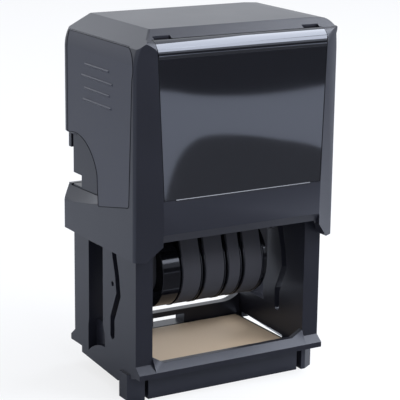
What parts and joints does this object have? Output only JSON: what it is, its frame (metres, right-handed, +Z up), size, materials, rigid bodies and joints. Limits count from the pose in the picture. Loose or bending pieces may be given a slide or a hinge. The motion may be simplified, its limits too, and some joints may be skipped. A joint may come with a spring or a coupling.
{
  "type": "self-inking date and time stamp machine",
  "caption": "Self-inking dater: a ribbed cap slides over a frame and flips a carriage of date bands from the ink pad down to a blank text plate.",
  "frame": {"origin": "middle of the whole machine's box, on the plane that its feet stand on", "axes": "+Z up, +X to the right when the window is seen from the front, the window faces -Y"},
  "size_m": [0.0736, 0.0532, 0.118],
  "materials": {
    "frame_plastic": "satin dark grey moulding",
    "cap_plastic": "satin dark grey moulding",
    "panel_plastic": "fine matt grain",
    "cover_plastic": "clear glossy cover over a black card",
    "card": "matt black",
    "tray_plastic": "satin",
    "inner_plastic": "satin",
    "collar_plastic": "smooth and glossy",
    "wheel_plastic": "satin",
    "band_rubber": "matt",
    "pad_felt": "inked felt",
    "plate_plastic": "smooth",
    "sheet": "tan, fine grain",
    "spring_steel": "drawn wire",
    "pin_steel": "turned"
  },
  "bodies": {
    "frame": {"base_frame": "frame_plastic", "text_plate": "plate_plastic", "plate_sheet": "sheet", "pad_bridge": "frame_plastic", "return_springs": "spring_steel"},
    "cap": {"cap_shell": "cap_plastic", "right_grip_panel": "panel_plastic", "left_grip_panel": "panel_plastic", "window_cover": "cover_plastic", "index_card": "card", "right_axle_bracket": "inner_plastic", "left_axle_bracket": "inner_plastic"},
    "carriage": {"pivot_pins": "pin_steel", "carriage_frame": "inner_plastic", "band_guide": "inner_plastic", "wheel_axle": "pin_steel", "wheel_separators": "inner_plastic", "end_collars": "collar_plastic", "hour_band": "band_rubber", "day_band": "band_rubber", "month_band": "band_rubber", "year_band": "band_rubber"},
    "pad_tray": {"ink_pad_tray": "tray_plastic", "ink_pad": "pad_felt"},
    "hour_dial": {"hour_wheel": "wheel_plastic"},
    "day_dial": {"day_wheel": "wheel_plastic"},
    "month_dial": {"month_wheel": "wheel_plastic"},
    "year_dial": {"year_wheel": "wheel_plastic"}
  },
  "joints": [
    {"name": "cap_press", "type": "slide", "parent": "frame", "child": "cap", "axis": [0, 0, -1], "range_m": [0, 0.026], "stiffness_N_per_m": 600, "springref_m": -0.01, "deforming": ["return_springs"]},
    {"name": "carriage_flip", "type": "hinge", "parent": "cap", "child": "carriage", "pos_m": [0, 0.00225, 0.0505], "axis": [1, 0, 0], "range_deg": [-180, 0]},
    {"name": "hour_turn", "type": "hinge", "parent": "carriage", "child": "hour_dial", "pos_m": [0, 0.00225, 0.037], "axis": [1, 0, 0], "continuous": true},
    {"name": "day_turn", "type": "hinge", "parent": "carriage", "child": "day_dial", "pos_m": [0, 0.00225, 0.037], "axis": [1, 0, 0], "continuous": true},
    {"name": "month_turn", "type": "hinge", "parent": "carriage", "child": "month_dial", "pos_m": [0, 0.00225, 0.037], "axis": [1, 0, 0], "continuous": true},
    {"name": "year_turn", "type": "hinge", "parent": "carriage", "child": "year_dial", "pos_m": [0, 0.00225, 0.037], "axis": [1, 0, 0], "continuous": true},
    {"name": "pad_tray_slide", "type": "slide", "parent": "frame", "child": "pad_tray", "axis": [0, 1, 0], "range_m": [0, 0.038]}
  ],
  "couplings": [
    {"joint": "carriage_flip", "follows": "cap_press", "rad_per_m": -120.83}
  ]
}
